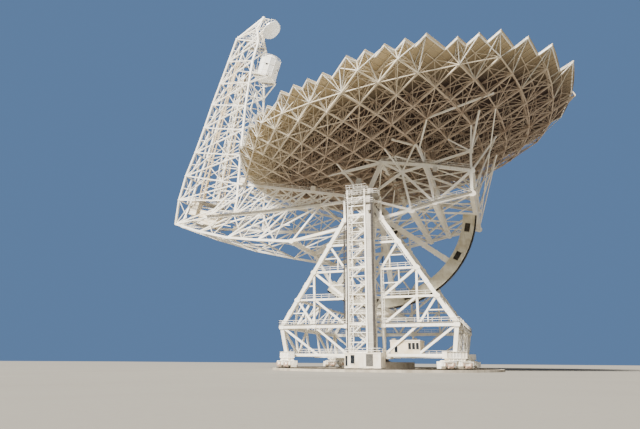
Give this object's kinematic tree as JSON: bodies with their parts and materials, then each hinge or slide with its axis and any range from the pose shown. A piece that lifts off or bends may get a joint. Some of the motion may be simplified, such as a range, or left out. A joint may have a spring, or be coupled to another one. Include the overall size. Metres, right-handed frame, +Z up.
{
  "type": "radio telescope dish, 1:10 scale model",
  "caption": "Fully steerable radio telescope at 1:10: a round track, a turning A-frame base, and a tipping off-axis dish with a lattice feed arm, receiver room and subreflector.",
  "frame": {"origin": "where the azimuth axis meets the ground, on the underside of the pintle foundation", "axes": "+X towards the high side of the dish, away from the feed arm; +Y along the elevation axis, away from the lift tower; +Z up"},
  "size_m": [14.1518, 10.3956, 13.6282],
  "materials": {
    "white_paint": "satin white paint",
    "panel_paint": "matt cream-white paint",
    "bare_steel": "worn dark steel",
    "concrete": "weathered concrete"
  },
  "bodies": {
    "ground_works": {"track_foundation": "concrete", "track_rail": "bare_steel", "pintle_foundation": "concrete", "pintle_pin": "bare_steel"},
    "alidade": {"truck_front_left": "white_paint", "truck_front_right": "white_paint", "truck_back_right": "white_paint", "truck_back_left": "white_paint", "a_frame_front": "white_paint", "a_frame_back": "white_paint", "side_frame_left": "white_paint", "side_frame_right": "white_paint", "pintle_girder": "white_paint", "pintle_strut_front": "white_paint", "pintle_strut_back": "white_paint", "bearing_front": "white_paint", "bearing_back": "white_paint", "drive_girder": "white_paint", "elevation_drive": "bare_steel", "lift_tower": "white_paint", "tower_cabin": "white_paint", "equipment_room": "white_paint"},
    "tipping_structure": {"backup_inner_back": "panel_paint", "backup_inner_front": "panel_paint", "backup_middle_back": "panel_paint", "backup_middle_front": "panel_paint", "backup_outer_back": "panel_paint", "backup_outer_front": "panel_paint", "box_bottom": "white_paint", "box_side_back": "white_paint", "box_side_front": "white_paint", "box_top": "white_paint", "elevation_shaft": "bare_steel", "feed_arm_back": "white_paint", "feed_arm_bottom": "white_paint", "feed_arm_front": "white_paint", "feed_arm_top": "white_paint", "feed_mast_back": "white_paint", "feed_mast_front": "white_paint", "feed_mast_inner": "white_paint", "feed_mast_outer": "white_paint", "feed_turret": "white_paint", "gear_rack": "bare_steel", "gear_sector": "white_paint", "receiver_deck": "white_paint", "receiver_room": "white_paint", "reflector_inner_back": "panel_paint", "reflector_inner_front": "panel_paint", "reflector_middle_back": "panel_paint", "reflector_middle_front": "panel_paint", "reflector_outer_back": "panel_paint", "reflector_outer_front": "panel_paint", "sector_hub": "white_paint", "sector_spoke_lower": "white_paint", "sector_spoke_middle": "white_paint", "sector_spoke_upper": "white_paint", "sector_tail": "white_paint", "subreflector": "white_paint", "tail_strut": "white_paint", "tip_frame": "white_paint"}
  },
  "joints": [
    {"name": "azimuth", "type": "hinge", "parent": "ground_works", "child": "alidade", "pos_m": [0, 0, 0.4], "axis": [0, 0, 1], "range_deg": [-270, 270]},
    {"name": "elevation", "type": "hinge", "parent": "alidade", "child": "tipping_structure", "pos_m": [0, 0, 4.83], "axis": [0, 1, 0], "range_deg": [-20.6, 69.4]}
  ]
}
